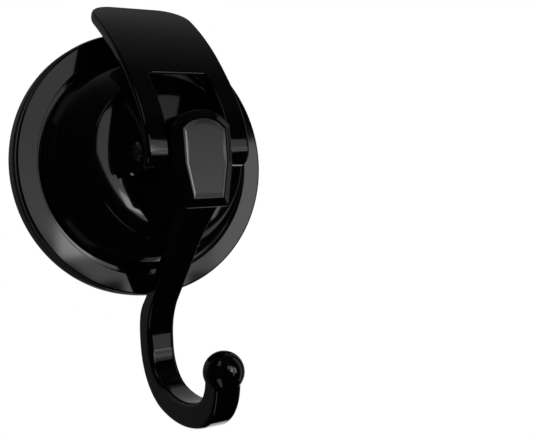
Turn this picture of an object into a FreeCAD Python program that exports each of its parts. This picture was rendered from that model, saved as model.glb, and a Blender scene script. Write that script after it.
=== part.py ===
import FreeCAD, Part
import math
import os

# A hook that holds by suction. A cam lever draws a soft pad's middle off the wall through a stud,
# and the hook stands on the stud's nose, between the lever's two arms.
# The origin is the centre of the pad's back on the wall. +X is to the right, +Z is up and -Y points
# out from the wall. Outlines are drawn as (depth, height) or (radius, depth), where depth is the
# distance out from the wall. All sizes are in millimetres, in the locked position.

# Suction pad
pad_diameter = 85.0
pad_edge_height = 5.6
pad_lip_height = 3.6
pad_lip_width = 8.0
pad_bead_width = 3.5
pad_web = 2.3
pad_hollow = 2.8
pad_edge_round = 0.9
boss_diameter = 28.0
boss_height = 11.0

# Stud that is moulded into the pad
flange_diameter = 22.0
flange_depth = 5.4
flange_thickness = 2.6
neck_diameter = 11.0
stud_width = 10.0
stud_height = 12.0
insert_gap = 0.1
neck_overlap = 0.5

# Housing
rim_inset = 0.4
rim_height = 7.7
rim_round = 1.0
ring_width = 6.3
ring_slope = 0.4
groove_width = 1.8
groove_floor = 6.0
dome_wall = 2.4
shoulder_round = 5.0
flank_foot_angle = 68.0
flank_top_angle = 52.0
dome_height = 26.0
flank_width = 10.6
dome_edge_round = 3.0
land_rise = 5.7
land_high = 16.5
land_low = -5.6
guide_gap = 0.3
guide_wall = 3.0
guide_clearance = 1.6
rib_count = 6
rib_thickness = 1.6
rib_height = 8.0

# Pivot and cam
pivot_rise = 6.8
pivot_height = 1.0
draw_stroke = 1.5
lever_opening = 90.0
cam_running_gap = 0.1
cam_locked_gap = 0.32
cam_spans = 6
halving_steps = 40
pin_radius = 2.5
pin_running_gap = 0.08
knurl_radius = 2.85
knurl_depth = 0.22
knurl_length = 3.0
knurl_teeth = 24
pin_stand_out = 0.6
pin_chamfer = 0.3

# Lever
lever_width = 33.0
arm_width = 6.9
knee_angle = 29.9
paddle_angle = 28.7
plate_angle = 18.2
lever_plate = 3.2
tip_depth = 6.0
tip_overhang = 8.25
lever_corner_round = 9.0
lever_edge_round = 1.1
slot_top = 24.6
slot_corner_round = 1.6
slot_edge_round = 0.7
nose_reach = 6.9
nose_round = 5.0

# Hook
head_gap = 0.4
head_reach = 8.8
head_standoff = 1.9
head_shoulder_height = 7.2
head_top = 11.9
head_waist_height = -3.5
head_foot_height = -16.0
head_foot_half_width = 6.9
head_foot_round = 1.0
shield_rise = 1.4
shield_bevel = 1.9
shield_inset = 2.3
hook_width = 8.7
hook_thickness = 7.6
hook_back = 1.9
neck_top_thickness = 4.4
neck_low_thickness = 5.0
hook_knee_round = 18.0
bend_drop = 16.9
bend_radii = (16.45, 40.0, 12.15)
bend_angles = (69.7, 34.1, 76.2)
ball_radius = 5.9
ball_offset = (1.0, 1.6)
hook_edge_round = 1.5
flare_height = -27.0
flare_swell = 1.2
shank_overlap = 2.0
heel_reach = 12.0
rim_reach = 4.0
rest_gap = 0.3

# How near counts as touching when edges are chosen, and how far a cut runs past what it cuts
tolerance = 0.01
cut_past = 1.0

# Places that follow from the sizes above
pad_radius = pad_diameter / 2
rim_radius = pad_radius - rim_inset
ring_inner = rim_radius - ring_width
dome_radius = ring_inner - groove_width
dome_flat_radius = dome_radius - flank_width
land_top = dome_height + land_rise
arm_inner = lever_width / 2 - arm_width
head_half_width = arm_inner - head_gap
pivot_depth = land_top + pivot_rise
nose_depth = pivot_depth + nose_reach
head_front = pivot_depth + head_reach
head_back = land_top + head_standoff
hook_bend_height = -rim_radius - bend_drop
cam_locked = pivot_rise - cam_locked_gap
cam_open = pivot_rise - draw_stroke - cam_running_gap


def side(depth, height):
    """A point of an outline that is seen from the side."""
    return FreeCAD.Vector(0, -depth, height)


def front(x, z, depth):
    """A point of an outline that is seen from the front."""
    return FreeCAD.Vector(x, -depth, z)


def turned(radius, depth):
    """A point of an outline that is turned about the pad's axis."""
    return FreeCAD.Vector(radius, -depth, 0)


def line(a, b):
    return Part.LineSegment(a, b).toShape()


def arc(a, middle, b):
    return Part.Arc(a, middle, b).toShape()


def quarter(a, corner, b):
    """The quarter round that takes the place of a square corner between a and b."""
    centre = a + b - corner
    return arc(a, centre + (corner - centre) * math.sqrt(0.5), b)


def polyline(points):
    """Straight edges from point to point."""
    return [line(a, b) for a, b in zip(points, points[1:])]


def bezier(*poles):
    curve = Part.BezierCurve()
    curve.setPoles(list(poles))
    return curve.toShape()


def spline(points):
    """A smooth curve through a few points."""
    curve = Part.BSplineCurve()
    curve.interpolate(points)
    return curve.toShape()


def face(edges):
    return Part.Face(Part.Wire(Part.__sortEdges__(edges)))


def across(edges, half_width):
    """A side outline given its width, even about the middle."""
    start = face(edges).translated(FreeCAD.Vector(-half_width, 0, 0))
    return start.extrude(FreeCAD.Vector(2 * half_width, 0, 0))


def outward(edges, rise):
    """A front outline raised away from the wall."""
    return face(edges).extrude(FreeCAD.Vector(0, -rise, 0))


def revolved(edges):
    """An outline turned a full circle about the pad's axis."""
    return face(edges).revolve(FreeCAD.Vector(0, 0, 0), FreeCAD.Vector(0, 1, 0), 360)


def disc(radius, start, end):
    """A round plate or post on the pad's axis, between two depths."""
    base = FreeCAD.Vector(0, -start, 0)
    return Part.makeCylinder(radius, end - start, base, FreeCAD.Vector(0, -1, 0))


def rod(radius, left, right):
    """A round rod on the pivot line, between two places across."""
    base = FreeCAD.Vector(left, -pivot_depth, pivot_height)
    return Part.makeCylinder(radius, right - left, base, FreeCAD.Vector(1, 0, 0))


def block(half_x, start, end, half_z, middle_z=0.0):
    """A square-cornered post between two depths."""
    base = FreeCAD.Vector(-half_x, -end, middle_z - half_z)
    return Part.makeBox(2 * half_x, end - start, 2 * half_z, base)


def arc_chain(start, heading, radii, turns, aside):
    """Edges of arcs that turn left one after another, drawn aside from their middle line.

    start and heading are the middle line's. A positive aside lies to the left, inside the bend.
    """
    x, z = start
    edges = []
    for radius, turn in zip(radii, turns):
        centre_x = x - radius * math.sin(heading)
        centre_z = z + radius * math.cos(heading)
        points = []
        for share in (0.0, 0.5, 1.0):
            angle = heading + share * math.radians(turn)
            reach = radius - aside
            points.append(side(centre_x + reach * math.sin(angle), centre_z - reach * math.cos(angle)))
        edges.append(arc(*points))
        heading += math.radians(turn)
        x = centre_x + radius * math.sin(heading)
        z = centre_z - radius * math.cos(heading)
    return edges, (x, z), heading


def suction_pad():
    """Soft disc with a flat sealing lip, a hollow back, a raised edge bead and a boss."""
    lip_inner = pad_radius - pad_lip_width
    bead_inner = pad_radius - pad_bead_width
    flange_radius = flange_diameter / 2
    boss_radius = boss_diameter / 2
    step = (lip_inner - flange_radius) / 3
    web_top = pad_hollow + pad_web
    web_start = boss_radius + pad_web
    web_end = dome_radius - dome_wall - insert_gap
    web_step = (web_end - web_start) / 3
    edges = [
        line(turned(0, pad_hollow), turned(flange_radius, pad_hollow)),
        bezier(
            turned(flange_radius, pad_hollow),
            turned(flange_radius + step, pad_hollow),
            turned(lip_inner - step, 0),
            turned(lip_inner, 0),
        ),
        line(turned(lip_inner, 0), turned(pad_radius - pad_edge_round, 0)),
        quarter(
            turned(pad_radius - pad_edge_round, 0),
            turned(pad_radius, 0),
            turned(pad_radius, pad_edge_round),
        ),
        line(turned(pad_radius, pad_edge_round), turned(pad_radius, pad_edge_height - pad_edge_round)),
        quarter(
            turned(pad_radius, pad_edge_height - pad_edge_round),
            turned(pad_radius, pad_edge_height),
            turned(pad_radius - pad_edge_round, pad_edge_height),
        ),
    ]
    edges += polyline([
        turned(pad_radius - pad_edge_round, pad_edge_height),
        turned(bead_inner, pad_edge_height),
        turned(bead_inner, pad_lip_height),
        turned(web_end, pad_lip_height),
    ])
    edges.append(bezier(
        turned(web_end, pad_lip_height),
        turned(web_end - web_step, pad_lip_height),
        turned(web_start + web_step, web_top),
        turned(web_start, web_top),
    ))
    edges.append(quarter(
        turned(web_start, web_top),
        turned(boss_radius, web_top),
        turned(boss_radius, web_top + pad_web),
    ))
    edges += polyline([
        turned(boss_radius, web_top + pad_web),
        turned(boss_radius, boss_height),
        turned(0, boss_height),
        turned(0, pad_hollow),
    ])
    pad = revolved(edges)
    pad = pad.cut(disc(flange_radius + insert_gap, flange_depth - insert_gap, flange_top() + insert_gap))
    return pad.cut(disc(neck_diameter / 2 + insert_gap, flange_depth, boss_height + cut_past))


def flange_top():
    return flange_depth + flange_thickness


def stud_prism(grow, start):
    """The stud's square part with its rounded nose, which fills the guide and the hook's pocket."""
    half_height = stud_height / 2 + grow
    nose = pivot_depth + half_height
    edges = [
        line(side(start, -half_height), side(pivot_depth, -half_height)),
        arc(side(pivot_depth, -half_height), side(nose, 0), side(pivot_depth, half_height)),
        line(side(pivot_depth, half_height), side(start, half_height)),
        line(side(start, half_height), side(start, -half_height)),
    ]
    return across(edges, stud_width / 2 + grow)


def pad_stud():
    """Stud with a round flange in the pad's boss and a cross bore for the pin in its nose."""
    stud = disc(flange_diameter / 2, flange_depth, flange_top())
    stud = stud.fuse(disc(neck_diameter / 2, flange_depth, boss_height + neck_overlap))
    stud = stud.fuse(stud_prism(0, boss_height + insert_gap))
    bore = rod(pin_radius + pin_running_gap, -stud_width, stud_width)
    return stud.cut(bore).removeSplitter()


def dome_outline(inset, foot):
    """The dome from its foot to its flat top, or the hollow inside it, a wall's thickness in.

    Three arcs run into each other: the shoulder, the long bulging flank and the top's edge. The
    angles are those of the surface's outward direction from the pad's axis.
    """
    top_angle = math.radians(flank_top_angle)
    foot_angle = math.radians(flank_foot_angle)
    edge_reach = dome_edge_round * math.sin(top_angle)
    shoulder_reach = shoulder_round * (1 - math.sin(foot_angle))
    spread = math.sin(foot_angle) - math.sin(top_angle)
    flank_round = (flank_width - edge_reach - shoulder_reach) / spread
    edge = (dome_flat_radius, dome_height - dome_edge_round)
    flank = along(edge, dome_edge_round - flank_round, top_angle)
    shoulder = along(flank, flank_round - shoulder_round, foot_angle)
    stages = (
        (shoulder, shoulder_round - inset, math.pi / 2, foot_angle),
        (flank, flank_round - inset, foot_angle, top_angle),
        (edge, dome_edge_round - inset, top_angle, 0),
    )
    edges = [line(turned(dome_radius - inset, foot), turned(dome_radius - inset, shoulder[1]))]
    for centre, radius, low, high in stages:
        middle = (low + high) / 2
        edges.append(arc(*[turned(*along(centre, radius, angle)) for angle in (low, middle, high)]))
    return edges


def along(point, distance, angle):
    """The (radius, depth) reached from a point, at an angle from the pad's axis."""
    return point[0] + distance * math.sin(angle), point[1] + distance * math.cos(angle)


def housing():
    """Moulded dome with a stepped rim, a groove and two raised lands that the lever's arms stand on.

    Inside it has a guide for the stud and ribs.
    """
    bead_inner = pad_radius - pad_bead_width
    ring_top = rim_height + ring_slope
    edges = polyline([
        turned(0, pad_lip_height),
        turned(bead_inner, pad_lip_height),
        turned(bead_inner, pad_edge_height),
        turned(rim_radius, pad_edge_height),
        turned(rim_radius, rim_height - rim_round),
    ])
    edges.append(quarter(
        turned(rim_radius, rim_height - rim_round),
        turned(rim_radius, rim_height),
        turned(rim_radius - rim_round, rim_height),
    ))
    edges += polyline([
        turned(rim_radius - rim_round, rim_height),
        turned(ring_inner, ring_top),
        turned(ring_inner, groove_floor),
        turned(dome_radius, groove_floor),
    ])
    edges += dome_outline(0, groove_floor)
    edges += polyline([
        turned(dome_flat_radius, dome_height),
        turned(0, dome_height),
        turned(0, pad_lip_height),
    ])
    body = revolved(edges)
    roof = dome_height - dome_wall
    hollow = dome_outline(dome_wall, 0)
    hollow += polyline([
        turned(dome_flat_radius, roof),
        turned(0, roof),
        turned(0, 0),
        turned(dome_radius - dome_wall, 0),
    ])
    cavity = revolved(hollow)
    guide_radius = math.hypot(stud_width, stud_height) / 2 + guide_wall
    inside = disc(guide_radius, boss_height + guide_clearance, roof + cut_past)
    for index in range(rib_count):
        rib = Part.makeBox(
            dome_radius,
            rib_height + cut_past,
            rib_thickness,
            FreeCAD.Vector(0, -roof - cut_past, -rib_thickness / 2),
        )
        turn = 360 / rib_count * (index + 0.5)
        rib.rotate(FreeCAD.Vector(0, 0, 0), FreeCAD.Vector(0, 1, 0), turn)
        inside = inside.fuse(rib)
    body = body.cut(cavity).fuse(inside.common(cavity))
    land_size = (arm_width, dome_wall / 2 + land_rise, land_high - land_low)
    for left in (-lever_width / 2, arm_inner):
        body = body.fuse(Part.makeBox(*land_size, FreeCAD.Vector(left, -land_top, land_low)))
    guide = block(stud_width / 2 + guide_gap, 0, land_top, stud_height / 2 + guide_gap)
    return body.cut(guide).removeSplitter()


def pivot_pin():
    """Steel pin, splined at its left end where it is pressed into the lever."""
    left = -lever_width / 2 - pin_stand_out
    right = lever_width / 2
    shaft = rod(pin_radius, left + knurl_length, right)
    points = []
    for index in range(2 * knurl_teeth):
        radius = knurl_radius - knurl_depth * (index % 2)
        angle = math.pi * index / knurl_teeth
        points.append(FreeCAD.Vector(
            left,
            -pivot_depth + radius * math.cos(angle),
            pivot_height + radius * math.sin(angle),
        ))
    points.append(points[0])
    knurl = face(polyline(points)).extrude(FreeCAD.Vector(knurl_length, 0, 0))
    axis = FreeCAD.Vector(1, 0, 0)
    end = FreeCAD.Vector(left, -pivot_depth, pivot_height)
    cone_length = knurl_radius - pin_radius + pin_chamfer
    cone = Part.makeCone(pin_radius - pin_chamfer, knurl_radius, cone_length, end, axis)
    rest = rod(knurl_radius, left + cone_length, left + knurl_length)
    return knurl.common(cone.fuse(rest)).fuse(shaft).removeSplitter()


def cam_outline():
    """The cam from the top of its flat back to the front of its flat foot.

    The flat back faces the land while the lever is locked. It reaches below the pivot line, so
    that the lever holds itself shut. Round to the foot, the distance from the pivot falls evenly
    with the angle, which is an involute of a circle, so the pad is let down at an even rate.
    """
    full = math.radians(lever_opening)
    rate = draw_stroke / full
    reach_at_start = cam_open + draw_stroke

    def point(angle):
        reach = reach_at_start - rate * angle
        out = -reach * math.cos(angle) - rate * math.sin(angle)
        up = -reach * math.sin(angle) + rate * math.cos(angle)
        return out, up

    low, high = 0.0, full
    for _ in range(halving_steps):
        middle = (low + high) / 2
        if -point(middle)[0] > cam_locked:
            low = middle
        else:
            high = middle
    curve = [point(high + (full - high) * index / cam_spans) for index in range(cam_spans + 1)]
    curve[0] = (-cam_locked, curve[0][1])
    return [side(pivot_depth + out, pivot_height + up) for out, up in curve]


def lever():
    """Moulded cam lever: a curved paddle and two arms that straddle the hook's head."""
    cam = cam_outline()
    foot = pivot_height - cam_open
    back = pivot_depth - cam_locked
    start = (nose_depth, foot + nose_round)
    knee_radius, paddle_radius = lever_radii(start)
    radii = (knee_radius, paddle_radius, paddle_radius)
    turns = (knee_angle, paddle_angle - plate_angle, plate_angle)
    outer, tip, heading = arc_chain(start, math.pi / 2, radii, turns, 0)
    plate = arc_chain(start, math.pi / 2, radii, turns, lever_plate)[0][-1]
    joint, plate_end = sorted((vertex.Point for vertex in plate.Vertexes), key=lambda point: point.z)
    tip_front = side(*tip)
    tip_middle = (tip_front + plate_end) / 2
    tip_end = tip_middle + side(math.cos(heading), math.sin(heading)) * (lever_plate / 2)
    bend_slope = math.tan(math.radians(90 + knee_angle + paddle_angle - plate_angle))
    bend_z = joint.z + (back + joint.y) * bend_slope
    edges = [
        quarter(side(nose_depth - nose_round, foot), side(nose_depth, foot), side(*start)),
        arc(tip_front, tip_end, plate_end),
        plate,
        bezier(joint, side(back, bend_z), side(back, bend_z - lever_plate)),
        line(side(back, bend_z - lever_plate), cam[0]),
        spline(cam),
        line(cam[-1], side(nose_depth - nose_round, foot)),
    ]
    front_line = Part.Wire(Part.__sortEdges__(edges[:1] + outer))
    body = across(edges + outer, lever_width / 2)
    body = body.cut(lever_slot())
    body = rounded_front(body, front_line, lever_width / 2, lever_edge_round)
    body = rounded_front(body, front_line, arm_inner, slot_edge_round)
    body = body.cut(lever_corners(tip_front, heading))
    body = body.cut(rod(knurl_radius, -lever_width, -lever_width / 2 - pin_stand_out + knurl_length))
    return body.cut(rod(pin_radius, -lever_width, lever_width)).removeSplitter()


def lever_radii(start):
    """The front's two radii, with which its arcs turn as named and end at the tip."""
    knee = math.radians(knee_angle)
    end = math.radians(knee_angle + paddle_angle)
    knee_in, knee_up = 1 - math.cos(knee), math.sin(knee)
    paddle_in, paddle_up = math.cos(knee) - math.cos(end), math.sin(end) - math.sin(knee)
    reach_in = start[0] - tip_depth
    reach_up = rim_radius + tip_overhang - start[1]
    spread = knee_up * paddle_in - knee_in * paddle_up
    knee_radius = (reach_up * paddle_in - reach_in * paddle_up) / spread
    paddle_radius = (reach_in * knee_up - reach_up * knee_in) / spread
    return knee_radius, paddle_radius


def rounded_front(body, front_line, half_width, radius):
    """Rounds the front edges that lie a given distance from the middle."""
    chosen = []
    for edge in body.Edges:
        middle = edge.valueAt((edge.FirstParameter + edge.LastParameter) / 2)
        flat = FreeCAD.Vector(0, middle.y, middle.z)
        aside = abs(abs(middle.x) - half_width) < tolerance
        if aside and front_line.distToShape(Part.Vertex(flat))[0] < tolerance:
            chosen.append(edge)
    return body.makeFillet(radius, chosen)


def lever_corners(tip, heading):
    """What is cut away to round the paddle's two top corners, square to the paddle."""
    half = lever_width / 2
    radius = lever_corner_round
    pieces = []
    for hand in (-1, 1):
        points = [
            FreeCAD.Vector(hand * (half - radius), 0, 0),
            FreeCAD.Vector(hand * (half - radius), 0, radius),
            FreeCAD.Vector(hand * (half + radius), 0, radius),
            FreeCAD.Vector(hand * (half + radius), 0, -radius),
            FreeCAD.Vector(hand * half, 0, -radius),
        ]
        rounding = quarter(points[-1], FreeCAD.Vector(hand * half, 0, 0), points[0])
        piece = face(polyline(points) + [rounding]).extrude(FreeCAD.Vector(0, 2 * radius, 0))
        piece.translate(FreeCAD.Vector(0, -radius, lever_plate / 2))
        pieces.append(piece)
    cutter = Part.makeCompound(pieces)
    cutter.rotate(FreeCAD.Vector(0, 0, 0), FreeCAD.Vector(1, 0, 0), 90 - math.degrees(heading))
    cutter.translate(tip)
    return cutter


def lever_slot():
    """The open slot between the arms."""
    radius = slot_corner_round
    low = -2 * slot_top
    edges = polyline([
        front(-arm_inner, slot_top - radius, 0),
        front(-arm_inner, low, 0),
        front(arm_inner, low, 0),
        front(arm_inner, slot_top - radius, 0),
    ])
    edges.append(line(front(arm_inner - radius, slot_top, 0), front(-arm_inner + radius, slot_top, 0)))
    for hand in (-1, 1):
        edges.append(quarter(
            front(hand * arm_inner, slot_top - radius, 0),
            front(hand * arm_inner, slot_top, 0),
            front(hand * (arm_inner - radius), slot_top, 0),
        ))
    return outward(edges, 2 * pivot_depth)


def shield(inset, depth):
    """The head's front outline at a depth, drawn in by an even amount all round."""
    left_shoulder = front(-head_half_width, head_shoulder_height, depth)
    right_shoulder = front(head_half_width, head_shoulder_height, depth)
    edges = [arc(left_shoulder, front(0, head_top, depth), right_shoulder)]
    edges += polyline([
        right_shoulder,
        front(head_half_width, head_waist_height, depth),
        front(head_foot_half_width, head_foot_height, depth),
        front(-head_foot_half_width, head_foot_height, depth),
        front(-head_half_width, head_waist_height, depth),
        left_shoulder,
    ])
    outline = Part.Wire(Part.__sortEdges__(edges))
    if inset == 0:
        return outline
    return outline.makeOffset2D(-inset, 2)


def hook_head():
    """Shield-shaped head with a raised, bevelled front and rounded foot corners."""
    head = Part.Face(shield(0, head_back)).extrude(FreeCAD.Vector(0, head_back - head_front, 0))
    corners = []
    for edge in head.Edges:
        low = all(abs(vertex.Z - head_foot_height) < tolerance for vertex in edge.Vertexes)
        if low and abs(edge.Vertexes[0].Y - edge.Vertexes[-1].Y) > tolerance:
            corners.append(edge)
    head = head.makeFillet(head_foot_round, corners)
    base = shield(shield_inset - shield_bevel, head_front)
    crown = shield(shield_inset, head_front + shield_rise)
    return head.fuse(Part.makeLoft([base, crown], True, True))


def shank_side():
    """The shank and its bend seen from the side, from inside the head to the tip."""
    half = hook_thickness / 2
    inner = hook_back + hook_thickness
    inside, tip, heading = arc_chain(hook_bend(), -math.pi / 2, bend_radii, bend_angles, half)
    outside = arc_chain(hook_bend(), -math.pi / 2, bend_radii, bend_angles, -half)[0]
    tip_inside = side(tip[0] - half * math.sin(heading), tip[1] + half * math.cos(heading))
    tip_outside = side(tip[0] + half * math.sin(heading), tip[1] - half * math.cos(heading))
    # The back keeps clear of the dome's edge and the rim while the stud moves in
    clear = draw_stroke * 0.5 + rest_gap * math.sqrt(0.5)
    edge_d = dome_height - dome_edge_round * (1 - math.sqrt(0.5)) + clear
    edge_z = -(dome_flat_radius + dome_edge_round * math.sqrt(0.5)) - clear
    rim_d = rim_height + clear + rest_gap
    rim_z = -rim_radius - clear + rest_gap
    slope = (edge_z - rim_z) / (edge_d - rim_d)
    top_z = edge_z + (head_back - edge_d) * slope
    # The front runs from the neck's thickness at the rim to that at the dome's edge
    aside = side(slope, -1) * (1 / math.hypot(1, slope))
    front_low = side(rim_d, rim_z) + aside * neck_low_thickness
    front_top = side(edge_d, edge_z) + aside * neck_top_thickness
    rise = front_top - front_low
    front_slope = rise.z / -rise.y
    corner = side(inner, front_low.z + (inner + front_low.y) * front_slope)
    up_slope = side(1, front_slope) * (1 / math.hypot(1, front_slope))
    turn = math.pi / 2 - math.atan(front_slope)
    knee = hook_knee_round * math.tan(turn / 2)
    knee_end = corner - side(0, knee)
    knee_centre = knee_end + side(hook_knee_round, 0)
    knee_middle = knee_centre + side(-math.cos(turn / 2), math.sin(turn / 2)) * hook_knee_round
    slope_end = corner + up_slope * knee
    start_d = head_front - shank_overlap
    start = side(start_d, corner.z + (start_d - inner) * front_slope)
    rim_point = side(rim_d, rim_z)
    rim_lead = side(1, slope) * (rim_reach / math.hypot(1, slope))
    heel = side(hook_back, hook_bend_height)
    edges = [
        line(start, slope_end),
        arc(slope_end, knee_middle, knee_end),
        line(knee_end, side(inner, hook_bend_height)),
        line(tip_inside, tip_outside),
        bezier(heel, heel + side(0, heel_reach), rim_point - rim_lead, rim_point),
    ]
    edges += inside + outside
    edges += polyline([
        rim_point,
        side(head_back, top_z),
        side(head_back, head_foot_height + shank_overlap),
        start,
    ])
    return edges


def hook_bend():
    """The (depth, height) where the shank's middle line runs into the bend."""
    return hook_back + hook_thickness / 2, hook_bend_height


def shank_front():
    """The shank seen from the front: it narrows below the head and then keeps its width."""
    half = hook_width / 2
    wide = head_foot_half_width
    top = head_foot_height + 2 * shank_overlap
    low = 2 * hook_bend_height
    flare = (head_foot_height - flare_height) / 3
    edges = polyline([
        front(-half, flare_height, 0),
        front(-half, low, 0),
        front(half, low, 0),
        front(half, flare_height, 0),
    ])
    edges.append(line(front(-wide, top, 0), front(wide, top, 0)))
    for hand in (-1, 1):
        edges.append(bezier(
            front(hand * wide, top, 0),
            front(hand * (half + flare_swell), top - flare, 0),
            front(hand * half, flare_height + flare, 0),
            front(hand * half, flare_height, 0),
        ))
    return outward(edges, 2 * pivot_depth)


def rounded_shank(body):
    """Rounds the shank's long edges below the flare."""
    chosen = []
    for edge in body.Edges:
        first, last = edge.ParameterRange
        points = [edge.valueAt(first + (last - first) * share) for share in (0.1, 0.5, 0.9)]
        aside = all(abs(abs(point.x) - hook_width / 2) < tolerance for point in points)
        below = all(point.z < flare_height for point in points)
        if aside and below and abs(points[0].x - points[-1].x) < tolerance:
            chosen.append(edge)
    return body.makeFillet(hook_edge_round, chosen)


def hook():
    """One moulding: the head with its pocket, the shank, the bend and the ball at its tip."""
    shank = across(shank_side(), head_half_width).common(shank_front())
    shank = rounded_shank(shank)
    tip = arc_chain(hook_bend(), -math.pi / 2, bend_radii, bend_angles, 0)[1]
    ball = Part.makeSphere(ball_radius, side(*tip) + side(*ball_offset))
    body = hook_head().fuse(shank).fuse(ball)
    body = body.cut(stud_prism(0, 0))
    return body.cut(rod(pin_radius + pin_running_gap, -lever_width, lever_width)).removeSplitter()


PIECES = {
    "suction_pad": suction_pad,
    "pad_stud": pad_stud,
    "housing": housing,
    "pivot_pin": pivot_pin,
    "lever": lever,
    "hook": hook,
}

os.makedirs("parts", exist_ok=True)
for name, make in PIECES.items():
    shape = make()
    shape.Solids[0].exportStep(f"parts/{name}.step")
    print(name, "solids", len(shape.Solids), "valid", shape.isValid(), "mm3", round(shape.Volume))
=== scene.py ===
import math

import bmesh
import bpy
import mathutils
import numpy as np
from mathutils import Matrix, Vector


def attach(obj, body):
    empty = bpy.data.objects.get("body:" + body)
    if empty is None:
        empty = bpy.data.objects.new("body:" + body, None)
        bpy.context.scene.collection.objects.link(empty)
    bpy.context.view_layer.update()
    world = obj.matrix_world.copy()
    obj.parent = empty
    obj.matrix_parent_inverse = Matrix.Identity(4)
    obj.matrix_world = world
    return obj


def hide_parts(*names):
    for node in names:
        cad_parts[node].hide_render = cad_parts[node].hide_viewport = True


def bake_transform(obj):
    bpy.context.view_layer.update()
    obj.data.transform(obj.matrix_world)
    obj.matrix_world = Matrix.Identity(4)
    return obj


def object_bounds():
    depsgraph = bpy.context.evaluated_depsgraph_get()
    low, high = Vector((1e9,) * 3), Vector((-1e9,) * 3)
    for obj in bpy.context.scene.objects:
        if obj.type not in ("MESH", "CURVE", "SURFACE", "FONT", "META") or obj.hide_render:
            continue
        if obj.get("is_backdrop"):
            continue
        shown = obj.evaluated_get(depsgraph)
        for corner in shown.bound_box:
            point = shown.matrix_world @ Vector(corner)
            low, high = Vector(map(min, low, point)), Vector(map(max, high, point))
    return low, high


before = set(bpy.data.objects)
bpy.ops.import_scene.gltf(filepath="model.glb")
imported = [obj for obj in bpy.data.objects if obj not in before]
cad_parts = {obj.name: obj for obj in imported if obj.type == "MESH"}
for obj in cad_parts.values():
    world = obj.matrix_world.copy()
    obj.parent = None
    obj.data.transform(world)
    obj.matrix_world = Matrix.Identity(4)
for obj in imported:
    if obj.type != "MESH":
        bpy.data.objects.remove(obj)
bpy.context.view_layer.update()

# Suction pad
# A soft PVC disc, injection moulded. Its back is hollow inside a flat sealing ring, and its raised
# edge bead lies in the housing's rim. The stud's flange is moulded into its thick middle.

# Sizes are in millimetres. A profile's points are (radius, depth), and depth grows from the wall out.
pad_profile = [
    (0.02, 2.8), (9.0, 2.8), (24.0, 1.3), (35.2, 0.0), (42.5, 0.0), (42.5, 5.6), (39.0, 5.6),
    (39.0, 3.6), (31.5, 3.6), (24.0, 4.3), (16.0, 5.1), (14.0, 7.4), (14.0, 11.0), (0.02, 11.0),
]
pad_rounds = [0.01, 14.0, 16.0, 8.0, 0.9, 0.9, 0.4, 0.3, 0.4, 8.0, 2.0, 1.5, 0.6, 0.01]
turn_steps = 320
close_to_end = 0.08
tiny = 1e-9
merge_distance = 0.001
bloom_size = 11.1
skin_size = 1.43
skin_height = 0.05


def rounded(corners, radii, spacing=1.2, arc_steps=8, counts=None):
    """Points round a closed outline whose corners are arcs.

    The arc of radius r at a corner touches both sides: its ends lie r / tan(half the corner's angle)
    from the corner, and its centre r / sin(half the angle) along the bisector. Straight runs keep a
    point close to each end, so that they shade flat, with more points between them.
    """
    corners = np.asarray(corners, float)
    radii = np.asarray(radii, float)[:, None]
    back = np.roll(corners, 1, axis=0) - corners
    ahead = np.roll(corners, -1, axis=0) - corners
    back /= np.linalg.norm(back, axis=1, keepdims=True)
    ahead /= np.linalg.norm(ahead, axis=1, keepdims=True)
    half = np.arccos(np.clip((back * ahead).sum(axis=1, keepdims=True), -1, 1)) / 2
    first = corners + back * radii / np.tan(half)
    last = corners + ahead * radii / np.tan(half)
    bisector = (back + ahead) / np.linalg.norm(back + ahead, axis=1, keepdims=True)
    centre = corners + bisector * radii / np.sin(half)
    share = np.linspace(0, 1, arc_steps + 1)[None, :, None]
    swing = (math.pi - 2 * half)[:, :, None]
    from_centre = (first - centre)[:, None, :]
    to_end = (last - centre)[:, None, :]
    arcs = (from_centre * np.sin((1 - share) * swing) + to_end * np.sin(share * swing)) / np.sin(swing)
    arcs += centre[:, None, :]
    stretches = []
    for index, arc in enumerate(arcs):
        following = arcs[(index + 1) % len(arcs)][0]
        run = following - arc[-1]
        length = np.linalg.norm(run)
        count = max(1, round(length / spacing)) if counts is None else counts[index]
        end_share = min(close_to_end, length / 4) / max(length, tiny)
        places = np.concatenate([[end_share], np.linspace(0, 1, count + 1)[1:-1], [1 - end_share]])
        stretches += [arc, arc[-1] + run * places[:, None]]
    return np.concatenate(stretches)


def turned(outline):
    """An outline of (radius, depth) carried round the pad's axis.

    x is the radius times the cosine of the turn, z the radius times its sine, and y minus the depth.
    """
    turn = np.linspace(0, 2 * math.pi, turn_steps, endpoint=False)
    radius, depth = outline[:, :1], outline[:, 1:]
    return np.stack([radius * np.cos(turn), -depth + 0 * turn, radius * np.sin(turn)], axis=-1)


def surface(name, grids):
    """A smooth mesh object from grids of points in metres.

    Each grid is (points, rows run on, columns run on). A face lies between neighbouring points, and
    where rows or columns run on, the last is joined to the first.
    """
    points = []
    faces = []
    start = 0
    for grid, rows_run_on, columns_run_on in grids:
        rows, columns = grid.shape[:2]
        index = start + np.arange(rows * columns).reshape(rows, columns)
        start += rows * columns
        if rows_run_on:
            index = np.vstack([index, index[:1]])
        if columns_run_on:
            index = np.hstack([index, index[:, :1]])
        cells = [index[:-1, :-1], index[1:, :-1], index[1:, 1:], index[:-1, 1:]]
        points.append(grid.reshape(-1, 3))
        faces.append(np.stack(cells, axis=-1).reshape(-1, 4))
    mesh = bpy.data.meshes.new(name)
    mesh.from_pydata(np.concatenate(points), [], np.concatenate(faces))
    mesh.shade_smooth()
    piece = bpy.data.objects.new(name, mesh)
    bpy.context.collection.objects.link(piece)
    return piece


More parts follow.
